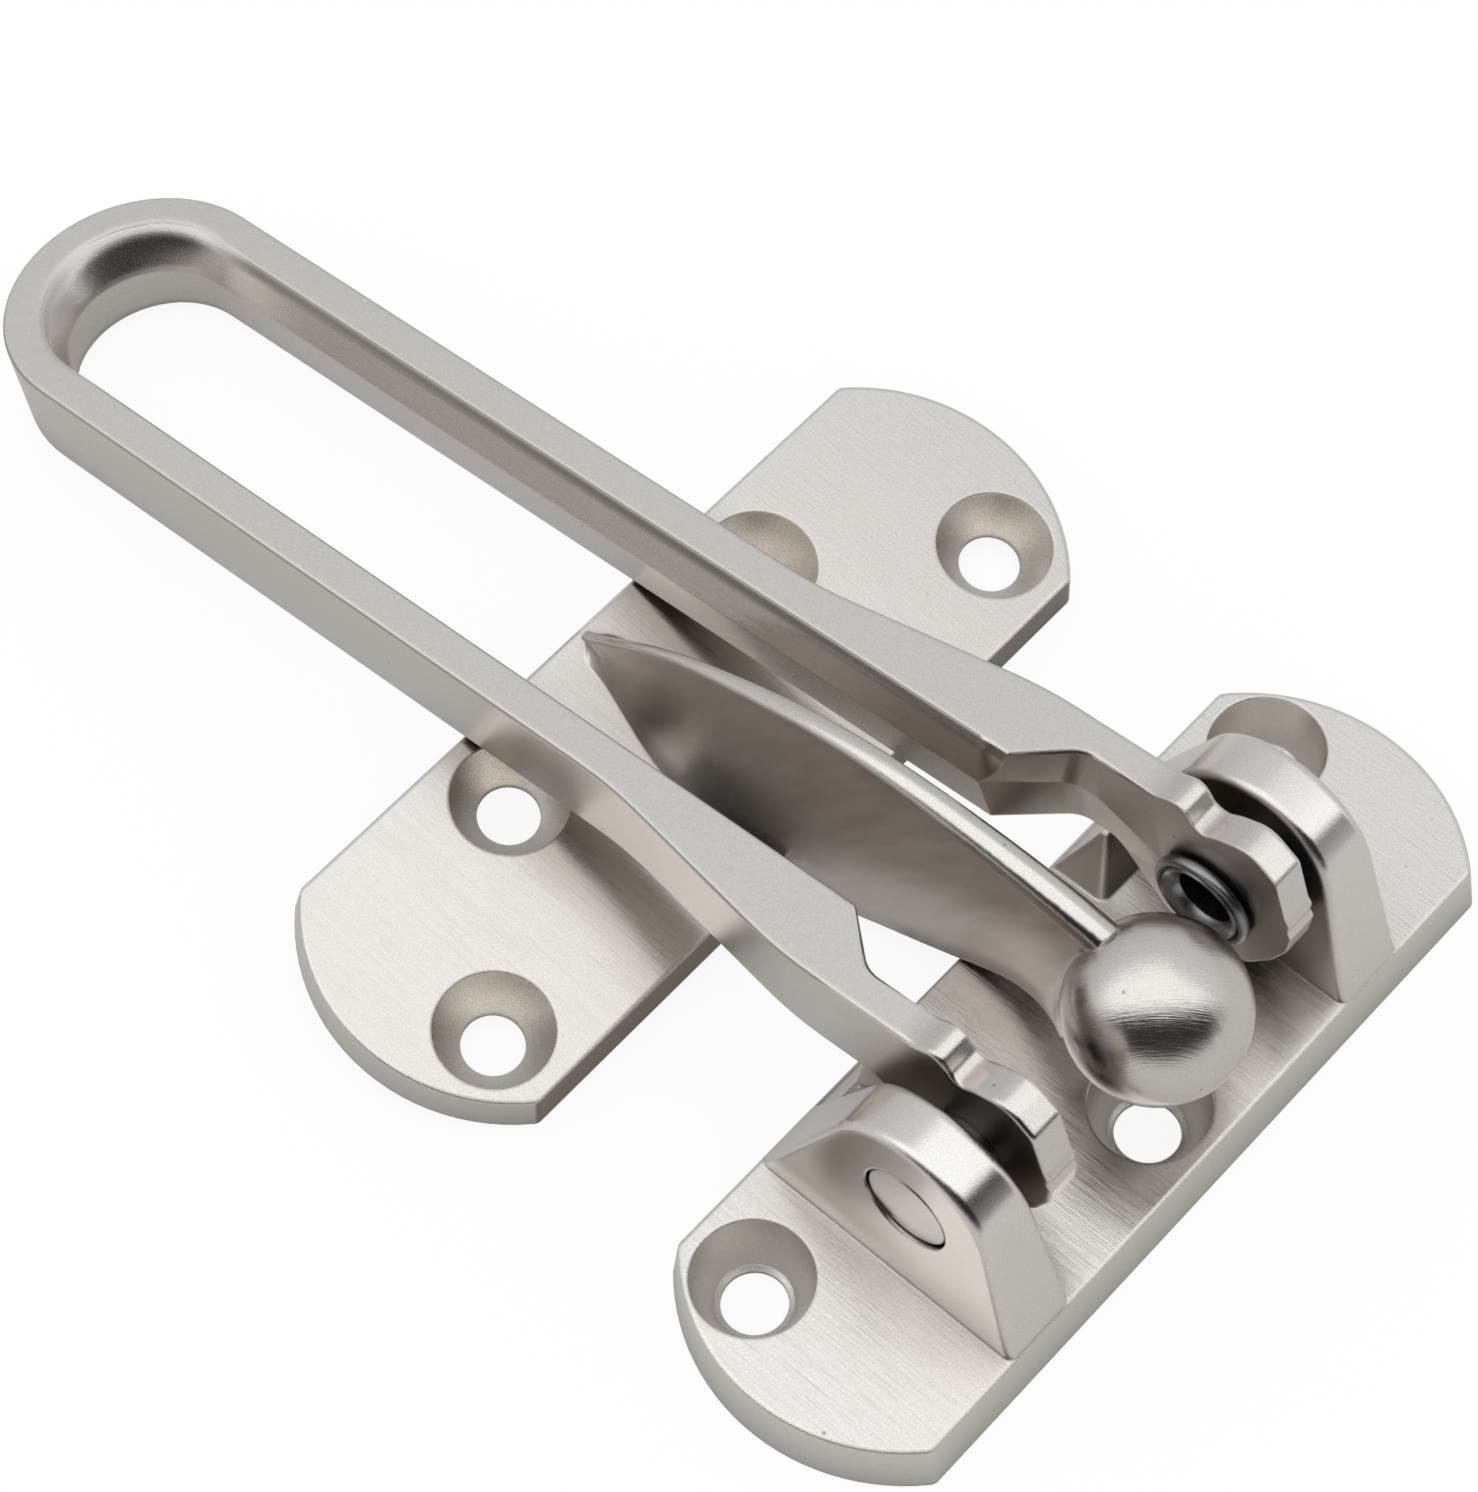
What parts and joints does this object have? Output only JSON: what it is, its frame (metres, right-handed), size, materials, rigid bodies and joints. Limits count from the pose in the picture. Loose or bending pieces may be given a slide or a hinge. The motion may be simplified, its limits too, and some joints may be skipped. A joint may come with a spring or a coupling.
{
  "type": "swing bar door guard",
  "caption": "Swing bar door guard: a slotted bar hinged between lugs on a frame plate, and a keeper plate whose ball is held by the slot, in satin nickel.",
  "frame": {"origin": "centre of the bar plate on its back face, the face that is screwed down", "axes": "+X is the front of the bar plate, away from the bar as it lies, +Y runs along both plates, +Z points away from the surface it is screwed to"},
  "size_m": [0.1275, 0.0776, 0.0247],
  "materials": {
    "plate_nickel": "satin nickel plate on a casting, brushed along the face",
    "bar_nickel": "satin nickel plate on a casting, fine matt faces and darker slot walls",
    "rivet_steel": "nickel plated steel, burnished where it is rolled over",
    "keeper_nickel": "satin nickel plate on a casting, brushed plate, smooth web and polished ball"
  },
  "bodies": {
    "fixed": {"bar_plate": "plate_nickel", "left_pivot_rivet": "rivet_steel", "right_pivot_rivet": "rivet_steel", "keeper": "keeper_nickel"},
    "bar": {"swing_bar": "bar_nickel"}
  },
  "joints": [
    {"name": "hinge", "type": "hinge", "parent": "fixed", "child": "bar", "pos_m": [0.0016, 0, 0.0152], "axis": [0, 1, 0], "range_deg": [0, 180]}
  ]
}
